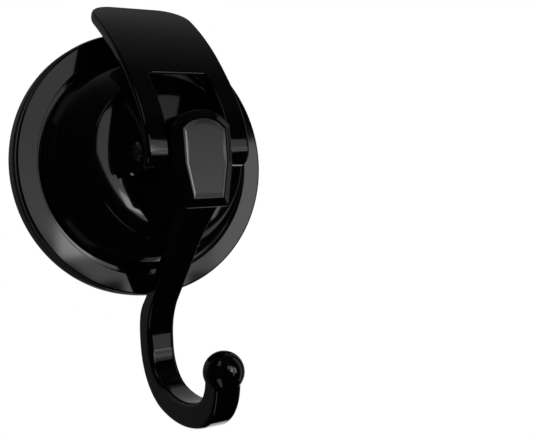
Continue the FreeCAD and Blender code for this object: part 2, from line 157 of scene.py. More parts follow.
def moulding(name, grids, node, body):
    """A closed piece from grids of points in millimetres, which stands for a CAD node.

    Doubled points are merged, and the faces are turned outwards.
    """
    piece = surface(name, [(grid / 1000, rows, columns) for grid, rows, columns in grids])
    work = bmesh.new()
    work.from_mesh(piece.data)
    bmesh.ops.remove_doubles(work, verts=work.verts, dist=merge_distance / 1000)
    bmesh.ops.recalc_face_normals(work, faces=work.faces)
    work.to_mesh(piece.data)
    work.free()
    piece.data.shade_smooth()
    if body:
        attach(piece, body)
    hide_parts(node)
    return piece


def linear(colour):
    """An sRGB hex colour as the linear values that a shader takes."""
    channels = [int(colour[place:place + 2], 16) / 255 for place in (1, 3, 5)]
    return [c / 12.92 if c <= 0.04045 else ((c + 0.055) / 1.055) ** 2.4 for c in channels] + [1.0]


def add_node(tree, kind, links=(), **settings):
    """Adds a node, sets its properties and sockets, and links outputs to its inputs by name."""
    node = tree.nodes.new(kind)
    for name, value in settings.items():
        if hasattr(node, name):
            setattr(node, name, value)
        else:
            node.inputs[name.replace("_", " ")].default_value = value
    for name, output in dict(links).items():
        tree.links.new(output, node.inputs[name])
    return node


def finish_for(name):
    """A new material with its node tree and its shader, ready for its own settings."""
    material = bpy.data.materials.new(name)
    material.use_nodes = True
    return material, material.node_tree, material.node_tree.nodes["Principled BSDF"]


suction_pad = moulding(
    "suction_pad_soft",
    [(turned(rounded(pad_profile, pad_rounds)), True, True)],
    "suction_pad", None,
)
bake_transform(suction_pad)

# Plasticised PVC from a polished mould: black, half glossy, with a faint bloom of wax in patches
# about 11 mm wide, and a skin that is never quite even.
soft_pvc, tree, shader = finish_for("soft black PVC, moulded")
shader.inputs["Base Color"].default_value = linear("#0f0f10")
shader.inputs["IOR"].default_value = 1.53
place = add_node(tree, "ShaderNodeTexCoord")
bloom = add_node(
    tree, "ShaderNodeTexNoise", {"Vector": place.outputs["Object"]}, Scale=1000 / bloom_size, Detail=4.0,
)
bloom_range = add_node(
    tree, "ShaderNodeMapRange", {"Value": bloom.outputs["Fac"]}, To_Min=0.3, To_Max=0.44,
)
tree.links.new(bloom_range.outputs["Result"], shader.inputs["Roughness"])
skin = add_node(
    tree, "ShaderNodeTexNoise", {"Vector": place.outputs["Object"]}, Scale=1000 / skin_size, Detail=3.0,
)
skin_bump = add_node(
    tree, "ShaderNodeBump", {"Height": skin.outputs["Fac"]}, Strength=0.12, Distance=skin_height / 1000,
)
tree.links.new(skin_bump.outputs["Normal"], shader.inputs["Normal"])
suction_pad.data.materials.append(soft_pvc)

# Stud
# A hard moulded post whose flange is held in the pad. Only a short square length of it shows, in the
# gap between the housing's top and the back of the hook's head. The solid itself is shown.

grain_size = 0.667

# Acetal looks waxy, and the mould's fine grain leaves it a little dull.
stud_plastic, tree, shader = finish_for("black acetal, moulded")
shader.inputs["Base Color"].default_value = linear("#101011")
shader.inputs["IOR"].default_value = 1.48
place = add_node(tree, "ShaderNodeTexCoord")
grain = add_node(tree, "ShaderNodeTexNoise", {"Vector": place.outputs["Object"]}, Scale=1000 / grain_size)
grain_range = add_node(
    tree, "ShaderNodeMapRange", {"Value": grain.outputs["Fac"]}, To_Min=0.3, To_Max=0.5,
)
tree.links.new(grain_range.outputs["Result"], shader.inputs["Roughness"])
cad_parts["pad_stud"].material_slots[0].material = stud_plastic

# Housing
# One ABS moulding with a mirror finish: a dome with a gently crowned top, a groove round its foot and
# a flat rim ring. Two raised lands carry the lever's cams. Inside, a square guide lets the stud slide.
# The pad's pull keeps it on the wall.

dome_radius = 34.0
dome_height = 26.0
dome_edge = 24.3
dome_round = 1.2
dome_steps = (22, 34, 14)
crown_start = 17.3
crown_round = 36.0
crown_flat = (17.2, 14.0, 11.0, 8.4)
shoulder_round = 5.0
flank_angles = (52.0, 68.0)
shell_wall = 2.4
skirt_radius = dome_radius - shell_wall
skirt_high = 7.9
foot_high = 8.9
rim_radius = 42.1
guide_half = (5.3, 6.3)
guide_radius = 10.81
guide_low = 12.6
guide_middle = 18.0
guide_power = 24
land_sides = (9.6, 16.5, -5.6, 16.5)
land_foot = 24.8
land_top = 31.7
land_round = 0.4
land_corner = 0.8
land_inside = 3.2
flat_margin = 0.06
haze_size = 16.7
wave_size = 18.2
wave_height = 0.1


def dome_arcs():
    """(radius, depth) from the dome's foot to the start of its crown.

    The shoulder, the flank and the top's edge are arcs that run into each other: a point is its arc's
    centre plus the radius times the sine and cosine of the angle between the surface's outward
    direction and the pad's axis.
    """
    top, foot = np.radians(flank_angles)
    crown_tilt = math.asin((dome_edge - crown_start) / (crown_round - dome_round))
    sunk = (crown_round - dome_round) * (1 - math.cos(crown_tilt))
    edge = np.array([dome_edge, dome_height - dome_round - sunk])
    reach = dome_radius - dome_edge - dome_round * math.sin(top) - shoulder_round * (1 - math.sin(foot))
    flank_round = reach / (math.sin(foot) - math.sin(top))
    flank = edge + (dome_round - flank_round) * np.array([math.sin(top), math.cos(top)])
    shoulder = flank + (flank_round - shoulder_round) * np.array([math.sin(foot), math.cos(foot)])
    arcs = []
    stages = (
        (shoulder, shoulder_round, math.pi / 2, foot), (flank, flank_round, foot, top),
        (edge, dome_round, top, crown_tilt),
    )
    for (centre, radius, low, high), count in zip(stages, dome_steps):
        angle = np.linspace(low, high, count + 1)[:, None]
        arcs.append(centre + radius * np.hstack([np.sin(angle), np.cos(angle)]))
    return np.concatenate([arcs[0], arcs[1][1:], arcs[2][1:]])


def rings(outline, squareness):
    """Rings about the pad's axis that pass from circles to the guide's rounded rectangle.

    A circle's point is radius times (cosine, sine). A rectangle's point lies the same way out, on a
    superellipse of the guide's half sides. Squareness mixes the two.
    """
    turn = np.linspace(0, 2 * math.pi, turn_steps, endpoint=False)
    cosine, sine = np.cos(turn), np.sin(turn)
    reach = (abs(cosine) / guide_half[0]) ** guide_power + (abs(sine) / guide_half[1]) ** guide_power
    reach = reach ** (-1 / guide_power)
    radius = outline[:, :1] * (1 - squareness[:, None]) + reach * squareness[:, None]
    return np.stack([radius * cosine, -outline[:, 1:] + 0 * turn, radius * sine], axis=-1)


# The rim and the groove, from the skirt's end inside the housing round to the dome's foot
rim_corners = [
    (skirt_radius, 8.0), (skirt_radius, 3.6), (39.1, 3.6), (39.1, 5.62), (rim_radius, 5.62),
    (rim_radius, 8.0), (35.8, 8.12), (35.8, 6.0), (dome_radius, 6.0), (dome_radius, 9.0),
]
rim_rounds = [0.01, 0.3, 0.3, 0.2, 0.25, 0.6, 0.28, 0.3, 0.3, 0.01]
rim = rounded(rim_corners, rim_rounds, arc_steps=6)
in_skirt = rim[:, 0] < skirt_radius + 0.4
rim = rim[(rim[:, 1] < foot_high) & ~(in_skirt & (rim[:, 1] > skirt_high))]

# The dome's outside, the guide's square hole, its edge, the roof and the dome's inside. The inside
# is the outside drawn in by the wall, and lowered by half of it.
outer_dome = dome_arcs()
inner_dome = outer_dome[:-dome_steps[2] - 1][::-1] - [shell_wall, shell_wall * 0.5]
crown_places = np.concatenate([np.linspace(outer_dome[-1, 0] - 0.2, crown_start, 20), crown_flat])
crown_way = np.maximum(crown_places - crown_start, 0)
crown_fall = crown_round - np.sqrt(crown_round ** 2 - crown_way ** 2)
crown = np.column_stack([crown_places, dome_height - crown_fall])
roof_depth = dome_height - shell_wall
guide_depths = [dome_height, dome_height - 0.1, dome_height - 0.3, guide_middle, guide_low + 0.01]
guide = np.column_stack([np.zeros(len(guide_depths)), guide_depths])
edge_depths = [guide_low, guide_low + 0.2, guide_middle, roof_depth]
guide_edge = np.column_stack([np.full(len(edge_depths), guide_radius), edge_depths])
roof = np.column_stack([np.linspace(guide_radius + 0.09, 20.0, 6), np.full(6, roof_depth)])
housing_path = np.vstack([rim, outer_dome, crown, guide, guide_edge, roof, inner_dome])
squareness = np.zeros(len(housing_path))
first_square = len(rim) + len(outer_dome) + len(crown)
squareness[first_square:first_square + len(guide)] = 1


def capped(stack):
    """Rings with one more at each end, whose points all lie at that end's middle."""
    first = stack[:1] * 0 + stack[:1].mean(axis=1, keepdims=True)
    last = stack[-1:] * 0 + stack[-1:].mean(axis=1, keepdims=True)
    return np.concatenate([first, stack, last])


def land(side):
    """A raised land: rounded rectangles stacked outwards, drawn in by a quarter round at the top.

    The land's sides are its nearest and furthest x and its lowest and highest z. Each rectangle is
    inset from them at its own depth.
    """
    near, far, low, high = land_sides
    angle = np.linspace(0, math.pi / 2, 6)
    insets = np.concatenate([
        [land_inside, 0, 0, 0], land_round * (1 - np.cos(angle)),
        [land_round + flat_margin, 1.5, land_inside],
    ])
    depths = np.concatenate([
        [land_foot, land_foot, dome_height + 0.2, land_top - 0.5],
        land_top - land_round * (1 - np.sin(angle)), [land_top] * 3,
    ])
    stack = []
    for inset, depth in zip(insets, depths):
        sides = [
            (near + inset, low + inset), (far - inset, low + inset), (far - inset, high - inset),
            (near + inset, high - inset),
        ]
        ring = rounded(sides, [max(land_corner - inset, 0.05)] * 4, arc_steps=6, counts=(4, 10, 4, 10))
        stack.append(np.column_stack([side * ring[:, 0], np.full(len(ring), -depth), ring[:, 1]]))
    return capped(np.stack(stack))


housing = moulding(
    "housing_dome",
    [(rings(housing_path, squareness), True, True), (land(-1), False, True), (land(1), False, True)],
    "housing", "cup",
)

# Glossy black ABS, moulded against polished steel. The gloss is high, with a long shallow waviness
# where the melt shrank, a trace of haze from handling and hardly any texture.
gloss_abs, tree, shader = finish_for("glossy black ABS, moulded")
shader.inputs["Base Color"].default_value = linear("#030304")
shader.inputs["IOR"].default_value = 1.53
place = add_node(tree, "ShaderNodeTexCoord")
haze = add_node(
    tree, "ShaderNodeTexNoise", {"Vector": place.outputs["Object"]}, Scale=1000 / haze_size, Detail=5.0,
)
haze_range = add_node(
    tree, "ShaderNodeMapRange", {"Value": haze.outputs["Fac"]}, To_Min=0.05, To_Max=0.11,
)
tree.links.new(haze_range.outputs["Result"], shader.inputs["Roughness"])
wave = add_node(
    tree, "ShaderNodeTexNoise", {"Vector": place.outputs["Object"]}, Scale=1000 / wave_size, Detail=1.0,
)
wave_bump = add_node(
    tree, "ShaderNodeBump", {"Height": wave.outputs["Fac"]}, Strength=0.25, Distance=wave_height / 1000,
)
tree.links.new(wave_bump.outputs["Normal"], shader.inputs["Normal"])
housing.data.materials.append(gloss_abs)

# Hook
# One ABS moulding on the stud's nose: a shield-shaped head with a raised face, a tapering neck that
# leans back to the wall, the bend and a ball at its tip.

head_half = 9.2
head_top = 11.9
head_shoulder = 7.2
head_waist = -3.5
head_foot = -16.0
head_foot_half = 6.9
head_back = 33.6
head_front = 47.3
head_middle = -1.5
head_corner = 0.9
corner_loss = 0.25
tight_corner = 0.25
back_corner = 0.8
back_round = 0.45
top_lean = 46.0
side_rows = (0.6, 4.0, 8.0, 12.5)
crown_front = 48.7
shield_inset = 2.3
slope_inset = 0.28
slope_round = 0.5
slope_rows = (0.56, 1.0, 1.7)
face_lead = 0.45
face_rise = 0.1
face_reach = 1.24
face_scales = (0.78, 0.45, 0)


def shield_corners(inset):
    """Corners of the head's front outline, drawn in by inset, and their rounding.

    Each side is a line n.p = c, and drawing it in takes inset from c. A corner is where two lines
    meet. The round top is the one corner above, whose round is the top's own radius.
    """
    top_round = (head_half ** 2 + (head_top - head_shoulder) ** 2) / (2 * (head_top - head_shoulder))
    lean = math.radians(top_lean)
    slant = np.array([head_waist - head_foot, head_foot_half - head_half])
    slant /= np.linalg.norm(slant)
    slant_reach = slant @ np.array([head_half, head_waist])
    top_reach = (head_top - top_round) * math.cos(lean) + top_round
    normals = np.array([
        (-math.sin(lean), math.cos(lean)), (math.sin(lean), math.cos(lean)), (1, 0), slant,
        (0, -1), (-slant[0], slant[1]), (-1, 0),
    ])
    reaches = np.array([
        top_reach, top_reach, head_half, slant_reach, -head_foot, slant_reach, head_half,
    ]) - inset
    following = np.roll(normals, -1, axis=0)
    corners = np.linalg.solve(
        np.stack([normals, following], axis=1),
        np.stack([reaches, np.roll(reaches, -1)], axis=1)[:, :, None],
    )[:, :, 0]
    return corners, top_round - inset


def shield_ring(inset, depth, corner_round, scale=1.0):
    """The head's outline at a depth, its straight corners rounded, and drawn to its middle by scale."""
    corners, top_round = shield_corners(inset)
    ring = rounded(corners, [top_round] + [corner_round] * 6, arc_steps=12, counts=[1, 8, 9, 9, 9, 8, 1])
    ring = (ring - [0, head_middle]) * scale + [0, head_middle]
    return np.column_stack([ring[:, 0], np.full(len(ring), -depth), ring[:, 1]])


def blended(before, corner, after, count):
    """Points of a soft corner, a quadratic bezier.

    By a share that runs from 0 to 1, each point is (1 - share) squared of the first, twice the share
    times (1 - share) of the corner and the share squared of the last.
    """
    share = np.linspace(0, 1, count)[:, None]
    return before * (1 - share) ** 2 + 2 * corner * share * (1 - share) + after * share ** 2


# The head's profile, as points (inset, depth): back edge, side, slope and the face's soft edge
slope_low = np.array([slope_inset, head_front])
slope_high = np.array([shield_inset, crown_front - face_rise])
slope_way = (slope_high - slope_low) / np.linalg.norm(slope_high - slope_low)
face_edge = slope_high + [face_lead, face_rise / 2]
face_crown = blended(
    face_edge, face_edge + [face_reach / 2, face_rise / 2], face_edge + [face_reach, face_rise / 2], 7,
)
angle = np.linspace(math.pi / 2, 0, 7)
side_depths = head_back + np.array(side_rows)
head_profile = np.vstack([
    np.column_stack([back_round * (1 - np.cos(angle)), head_back + back_round * (1 - np.sin(angle))]),
    np.column_stack([0 * side_depths, side_depths]),
    blended(
        np.array([0, head_front - slope_round]), np.array([0, head_front + 0.02]),
        slope_low + slope_way * slope_round, 9,
    ),
    slope_low + slope_way * np.array(slope_rows)[:, None],
    blended(slope_high - slope_way * slope_round, slope_high, face_edge, 9),
])
face_inset = face_edge[0]
head_rings = [shield_ring(back_round, head_back, back_corner, scale) for scale in face_scales[::-1]]
head_rings += [
    shield_ring(inset, depth, max(head_corner - corner_loss * inset, tight_corner))
    for inset, depth in head_profile
]
head_rings += [
    shield_ring(face_inset, depth, tight_corner, 1 - (inset - face_inset) / (head_half - face_inset))
    for inset, depth in face_crown[1:]
]
head_rings += [shield_ring(face_inset, face_crown[-1, 1], tight_corner, scale) for scale in face_scales]
head_grid = np.stack(head_rings)


def walked(points):
    """The distance along a line up to each of its points."""
    return np.concatenate([[0], np.cumsum(np.linalg.norm(np.diff(points, axis=0), axis=1))])


def sample(points, places):
    """Points of a line at given distances along it."""
    along = walked(points)
    first = np.interp(places, along, points[:, 0])
    return np.stack([first, np.interp(places, along, points[:, 1])], axis=-1)


def spread(lines, counts):
    """Each line with its count of points, at even distances along it."""
    return [sample(line, np.linspace(0, walked(line)[-1], count)) for line, count in zip(lines, counts)]


def end_to_end(lines):
    """Lines that follow each other as one line, with each shared end once."""
    return np.vstack([line[:-1] for line in lines] + [lines[-1][-1:]])


# The neck's front and back, as points (depth, height). The back clears the low edges of the dome and
# the rim by half the stroke and the gap at rest, and its front stands the neck's thickness off it.
hook_half = 4.6
hook_thick = 7.6
hook_back = 1.9
shank_swell = 0.3
draw_stroke = 1.5
rest_gap = 0.3
dome_low_edge = (25.12, -25.52)
rim_low_edge = (7.7, -rim_radius)
neck_low_thick = 5.0
neck_top_thick = 4.4
neck_top = -14.0
neck_middle = -22.5
neck_round = 18.0
neck_counts = (16, 36, 50)
bend_drop = 16.9
clear = draw_stroke * 0.5 + rest_gap * math.sqrt(0.5)
dome_point = np.array(dome_low_edge) + [clear, -clear]
rim_point = np.array(rim_low_edge) + [clear + rest_gap, rest_gap - clear]
along = (dome_point - rim_point) / np.linalg.norm(dome_point - rim_point)
aside = np.array([along[1], -along[0]])
front_low = rim_point + aside * neck_low_thick
front_high = dome_point + aside * neck_top_thick
front_way = (front_high - front_low) / np.linalg.norm(front_high - front_low)
bend_height = -rim_radius - bend_drop
bend_inner = hook_back + hook_thick + shank_swell
neck_corner = front_low + front_way * (bend_inner - front_low[0]) / front_way[0]
neck_turn = math.acos(front_way[1])
neck_reach = neck_round * math.tan(neck_turn / 2)
neck_centre = np.array([bend_inner + neck_round, neck_corner[1] - neck_reach])
turn = np.linspace(neck_turn, 0, 40)[:, None]
neck_arc = neck_centre + neck_round * np.hstack([-np.cos(turn), np.sin(turn)])
front_start = neck_corner + front_way * (neck_top - neck_corner[1]) / front_way[1]
front_middle = neck_corner + front_way * (neck_middle - neck_corner[1]) / front_way[1]
neck_front = spread([
    np.array([front_start, front_middle]), np.vstack([front_middle, neck_arc[:1]]),
    np.vstack([neck_arc, [[bend_inner, bend_height]]]),
], neck_counts)

# Below the rim the back is a cubic bezier down to the heel.
heel_pull = 12.0
rim_pull = 4.0
back_top = rim_point + along * (head_back - rim_point[0]) / along[0]
heel = np.array([hook_back, bend_height])
heel_lead = heel + [0, heel_pull]
rim_lead = rim_point - along * rim_pull
share = np.linspace(0, 1, 50)[:, None]
heel_curve = rim_point * (1 - share) ** 3 + 3 * rim_lead * share * (1 - share) ** 2
heel_curve += 3 * heel_lead * share ** 2 * (1 - share) + heel * share ** 3
neck_back = spread([
    np.array([[head_back, neck_top], back_top]), np.array([back_top, rim_point]), heel_curve,
], neck_counts)

# The bend's middle is three arcs, by their radii and the angles that they turn through.
bend_radii = (16.45, 40.0, 12.15)
bend_angles = np.radians((69.7, 34.1, 76.2))
bend_points = 45
tip_waist = 0.2


def bend_side(offset_start, offset_end):
    """The bend's side line beside its middle: arcs that run into each other, and the middle's end.

    A point is its arc's centre plus (radius - offset) times the sine and minus the cosine of the
    heading, which turns from straight down, through level, up to the ball. The offset changes evenly
    with the heading.
    """
    start = np.array([hook_back + hook_thick / 2, bend_height])
    heading = -math.pi / 2
    lines = []
    for radius, angle in zip(bend_radii, bend_angles):
        centre = start + radius * np.array([-math.sin(heading), math.cos(heading)])
        turn = np.linspace(heading, heading + angle, bend_points)[:, None]
        offset = offset_start + (offset_end - offset_start) * (turn / math.pi + 0.5)
        lines.append(centre + (radius - offset) * np.hstack([np.sin(turn), -np.cos(turn)]))
        heading += angle
        start = centre + radius * np.array([math.sin(heading), -math.cos(heading)])
    return lines, start


bend_in, tip_point = bend_side(hook_thick / 2 + shank_swell, hook_thick / 2 - tip_waist)
bend_out = bend_side(-hook_thick / 2, -hook_thick / 2)[0]
front_line = end_to_end(neck_front + bend_in)
back_line = end_to_end(neck_back + bend_out)

# The shank's width flares out towards the head between two heights.
flare_top = -12.0
flare_low = -27.0
flare_pull = 11.0 / 3
flare_swell = 1.2


def neck_half(height):
    """Half the shank's width by height: a cubic bezier from the head's foot to the straight shank."""
    share = np.linspace(0, 1, 60)
    heights = np.array([flare_top, flare_top - flare_pull, flare_low + flare_pull, flare_low])
    halves = np.array([head_foot_half, hook_half + flare_swell, hook_half, hook_half])
    weights = np.array([
        (1 - share) ** 3, 3 * share * (1 - share) ** 2, 3 * share ** 2 * (1 - share), share ** 3,
    ])
    return np.interp(-height, -(heights @ weights), halves @ weights)


def shank_grid(front_line, back_line, edge_round, taper):
    """A rounded rectangle carried along two lines, its front and its back.

    A section's corner is drawn in by edge_round, and its quarter rounds are that radius times the
    cosine across and the sine along the section's depth. Faces keep a point near each round. The
    taper is each section's share of the full width.
    """
    depth_way = back_line - front_line
    depth = np.linalg.norm(depth_way, axis=1, keepdims=True)
    depth_way = depth_way / depth
    angle = np.linspace(0, math.pi / 2, 8)
    side = np.linspace(0, 1, 7)
    face = np.array([-1, -0.5, 0, 0.5, 1])
    front_half = neck_half(front_line[:, 1])[:, None] * taper
    back_half = neck_half(back_line[:, 1])[:, None] * taper
    right_across = np.hstack([
        (front_half - edge_round - flat_margin) * face,
        front_half - edge_round * (1 - np.sin(angle)),
        front_half * (1 - side) + back_half * side,
        back_half - edge_round * (1 - np.cos(angle)),
        (back_half - edge_round - flat_margin) * face[::-1],
    ])
    right_inward = np.hstack([
        0 * depth * face,
        edge_round * (1 - np.cos(angle)),
        edge_round + flat_margin + (depth - 2 * edge_round - 2 * flat_margin) * side,
        depth - edge_round * (1 - np.sin(angle)),
        depth + 0 * face,
    ])
    side_reversed = slice(-len(face) - 1, len(face) - 1, -1)
    x = np.hstack([right_across, -right_across[:, side_reversed]])
    inward = np.hstack([right_inward, right_inward[:, side_reversed]])
    place = front_line[:, None, :] + depth_way[:, None, :] * inward[:, :, None]
    return np.stack([x, -place[..., 0], place[..., 1]], axis=-1)


# Its edges are rounder below the neck, and it narrows along the bend.
neck_edge = 0.9
shank_edge = 1.6
tip_edge = 1.2
tip_taper = 0.11
bend_rows = len(bend_radii) * (bend_points - 1) + 1
neck_rows = len(front_line) - bend_rows
down_bend = np.concatenate([np.zeros(neck_rows), np.linspace(0, 1, bend_rows)])[:, None]
edge_grow = np.clip(np.linspace(-1.6, 1, neck_rows), 0, 1)
edge_rounds = np.concatenate([
    neck_edge + (shank_edge - neck_edge) * edge_grow, np.linspace(shank_edge, tip_edge, bend_rows),
])[:, None]
shank = capped(shank_grid(front_line, back_line, edge_rounds, 1 - tip_taper * down_bend))

# The ball is a sphere about a centre just past the shank's end, and its rings turn about the x axis.
ball_radius = 5.9
ball_offset = (1.0, 1.6)
ball_centre = tip_point + ball_offset
around = np.linspace(0, 2 * math.pi, 96, endpoint=False)
over = np.linspace(0, math.pi, 65)[:, None]
ball = np.stack([
    ball_radius * np.cos(over) + 0 * around,
    -ball_centre[0] + ball_radius * np.sin(over) * np.cos(around),
    ball_centre[1] + ball_radius * np.sin(over) * np.sin(around),
], axis=-1)
hook = moulding(
    "hook_moulding", [(head_grid, False, True), (shank, False, True), (ball, False, True)],
    "hook", "stud",
)
hook.data.materials.append(gloss_abs)

# Lever
# One ABS moulding: a curved paddle that ends in two arms. Each arm's foot is a cam that stands on one
# of the housing's lands, and the arms' front rolls under into that foot.

pivot = (38.5, 1.0)
lever_half = 16.5
arm_inner = 9.6
arm_back = 32.02
arm_round = 1.1
tip_round = 1.58
slot_top = 24.6
slot_corner = 1.6
slot_round = 0.7
paddle_corner = 9.0
paddle_round = 104.0
plate = 3.2
tip_angle = plate / 2 / paddle_round
nose = (45.4, 0.8)
nose_round = 5.0
knee_round = 25.3
knee, arm, paddle = np.radians((29.9, 10.5, 18.2))
cam_foot = -4.2
cam_middle = 39.0
cam_front = 40.3
cam_heel = 37.6
cam_reach = 6.7
cam_length = 14.0
flat_angle = 0.256
flat_low = 0.35


def arc_line(centre, radius, low, high, count):
    """Points (depth, height) on an arc from one angle to another."""
    angle = np.linspace(low, high, count)[:, None]
    return centre + radius * np.hstack([np.cos(angle), np.sin(angle)])


def cam_curve():
    """The cam's edge from its foot to its flat back: an involute of a circle.

    In a direction that lies an angle below straight back, the edge's tangent line stands off the
    pivot by the cam's reach less a rate times that angle. It touches the edge that rate beside the
    direction's own line. The rate is the stud's stroke over a quarter turn.
    """
    rate = draw_stroke / (math.pi / 2)
    angle = np.linspace(math.pi / 2, flat_angle, 30)
    reach = cam_reach - rate * angle
    out = -reach * np.cos(angle) - rate * np.sin(angle)
    up = -reach * np.sin(angle) + rate * np.cos(angle)
    return np.column_stack([pivot[0] + out, pivot[1] + up])


# The lever's front and back from the middle of its foot to its tip
paddle_end = knee + arm + paddle + tip_angle
nose_centre = np.array([nose[0] - nose_round, nose[1]])
knee_centre = np.array([nose[0] - knee_round, nose[1]])
paddle_centre = knee_centre + (knee_round - paddle_round) * np.array([math.cos(knee), math.sin(knee)])
front_points = np.vstack([
    np.column_stack([np.linspace(cam_middle, cam_front, 6), np.full(6, cam_foot)]),
    arc_line(nose_centre, nose_round, -math.pi / 2, 0, 30)[1:],
    arc_line(knee_centre, knee_round, 0, knee, 40)[1:],
    arc_line(paddle_centre, paddle_round, knee, paddle_end, 90)[1:],
])
under_line = arc_line(paddle_centre, paddle_round - plate, knee + arm, paddle_end, 60)
slope = np.array([-math.sin(knee + arm), math.cos(knee + arm)])
bend_low = under_line[0] + slope * (arm_back - under_line[0, 0]) / slope[0]
arm_bend = np.array([arm_back, bend_low[1] - plate])
back_points = np.vstack([
    np.column_stack([np.linspace(cam_middle, cam_heel, 6), np.full(6, cam_foot)]),
    cam_curve(),
    np.column_stack([np.full(20, arm_back), np.linspace(flat_low, arm_bend[1] - 0.1, 20)]),
    blended(arm_bend, bend_low, under_line[0], 24),
    under_line[1:],
])


def place_at(points, height, first):
    """The distance along a line to a height, on the part that rises from its point first on."""
    return np.interp(height, points[first:, 1], walked(points)[first:])


# Places along the front and those that lie behind them: the foot, the slot's top, the plate, the tip
front_rises = 20
back_rises = 30
plate_start = paddle_centre[1] + paddle_round * math.sin(knee + arm)
slot_place = place_at(front_points, slot_top, front_rises)
tip_place = walked(front_points)[-1]
front_knots = [0, slot_place, place_at(front_points, plate_start, front_rises), tip_place]
back_knots = [
    0, place_at(back_points, slot_top, back_rises), place_at(back_points, under_line[0, 1], back_rises),
    walked(back_points)[-1],
]


def strip_edge(x_side, places, corner_round, top, corner_count, across_count=24):
    """One edge of the lever's flattened outline, from the left foot over the top to the right foot.

    It is an upside-down U as (x, distance along the front): straight up by the places, a quarter
    round, across, a quarter round and down again.
    """
    angle = np.linspace(0, math.pi / 2, corner_count)[1:]
    corner = np.column_stack([
        -x_side + corner_round * (1 - np.cos(angle)), top - corner_round * (1 - np.sin(angle)),
    ])
    half = np.vstack([np.column_stack([np.full(len(places), -x_side), places]), corner])
    x_across = np.linspace(half[-1, 0], -half[-1, 0], across_count + 2)[1:-1]
    return np.vstack([half, np.column_stack([x_across, np.full(across_count, top)]), half[::-1] * [-1, 1]])


arm_end = slot_place - slot_corner
arm_places = np.concatenate([np.linspace(0, cam_length, 70), np.linspace(cam_length, arm_end, 40)[1:]])
paddle_places = np.linspace(arm_end, tip_place - paddle_corner, 31)[1:]
outer_places = np.concatenate([arm_places, paddle_places])
inner_edge = strip_edge(arm_inner, arm_places, slot_corner, slot_place, 60)
outer_edge = strip_edge(lever_half, outer_places, paddle_corner, tip_place, 30)


def lever_grid(inner, outer):
    """The lever's whole skin: a closed section carried from the left foot to the right foot.

    Each section runs across the front, down the outer wall, back across the underside and up the
    inner wall. Near a wall, the skin sinks by r (1 - cos a) at r (1 - sin a) from it, a quarter
    round. Sunk points move against the surface's outward way.
    """
    way = outer - inner
    length = np.linalg.norm(way, axis=1, keepdims=True)
    way = way / length
    to_tip = np.clip((outer[:, 1:] - slot_place) / (tip_place - slot_place), 0, 1)
    outer_round = arm_round + (tip_round - arm_round) * to_tip ** 2
    inner_round = np.full_like(outer_round, slot_round)
    angle = np.linspace(math.pi / 2, 0, 8)
    near = np.hstack([inner_round * (1 - np.sin(angle)), inner_round + flat_margin])
    far = np.hstack([
        length - outer_round - flat_margin, length - outer_round * (1 - np.sin(angle[::-1])),
    ])
    middle = near[:, -1:] + (far[:, :1] - near[:, -1:]) * np.linspace(0, 1, 28)[1:-1]
    across = np.hstack([near, middle, far])
    sunk = np.hstack([
        inner_round * (1 - np.cos(angle)), 0 * inner_round, 0 * middle, 0 * inner_round,
        outer_round * (1 - np.cos(angle[::-1])),
    ])
    place = inner[:, None, :] + way[:, None, :] * across[:, :, None]
    x, distance = place[..., 0], place[..., 1]
    back_distance = np.interp(distance, front_knots, back_knots)
    both_skins = []
    for points, at, sign in ((front_points, distance, 1), (back_points, back_distance, -1)):
        here = sample(points, at)
        step = sample(points, np.clip(at + 0.25, 0, walked(points)[-1]))
        step = step - sample(points, np.clip(at - 0.25, 0, None))
        step /= np.maximum(np.linalg.norm(step, axis=-1, keepdims=True), tiny)
        outward = np.stack([step[..., 1], -step[..., 0]], axis=-1) * sign
        here = here - outward * sunk[..., None]
        both_skins.append(np.stack([x, -here[..., 0], here[..., 1]], axis=-1))
    front_skin, back_skin = both_skins
    wall = np.array([0.03, 0.35, 0.65, 0.97])[None, :, None]
    outer_wall = front_skin[:, -1:] * (1 - wall) + back_skin[:, -1:] * wall
    inner_wall = back_skin[:, :1] * (1 - wall) + front_skin[:, :1] * wall
    return np.concatenate([front_skin, outer_wall, back_skin[:, ::-1], inner_wall], axis=1)


lever = moulding(
    "lever_paddle", [(lever_grid(inner_edge, outer_edge), False, True)],
    "lever", "lever",
)
lever.data.materials.append(gloss_abs)

# Pivot pin
# Bright steel, whose left end is rolled with straight teeth and pressed into the lever's ear. The
# solid itself is shown.

mark_length = 16.7
mark_pitch = 0.4

# Drawing leaves fine marks along the steel. They are drawn 0.4 mm apart, coarser than real ones.
pin_steel, tree, shader = finish_for("bright drawn steel")
shader.inputs["Base Color"].default_value = linear("#b9bbbd")
shader.inputs["Metallic"].default_value = 1.0
place = add_node(tree, "ShaderNodeTexCoord")
drawn = add_node(
    tree, "ShaderNodeMapping", {"Vector": place.outputs["Object"]},
    Scale=(1000 / mark_length, 1000 / mark_pitch, 1000 / mark_pitch),
)
marks = add_node(tree, "ShaderNodeTexNoise", {"Vector": drawn.outputs["Vector"]}, Scale=1.0, Detail=3.0)
marks_range = add_node(
    tree, "ShaderNodeMapRange", {"Value": marks.outputs["Fac"]}, To_Min=0.16, To_Max=0.34,
)
tree.links.new(marks_range.outputs["Result"], shader.inputs["Roughness"])
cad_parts["pivot_pin"].material_slots[0].material = pin_steel

# Camera
# It looks level and from the left, turned by about four degrees, as in the photograph. Right and
# ahead are its own directions in the frame, and ahead is made square to right.

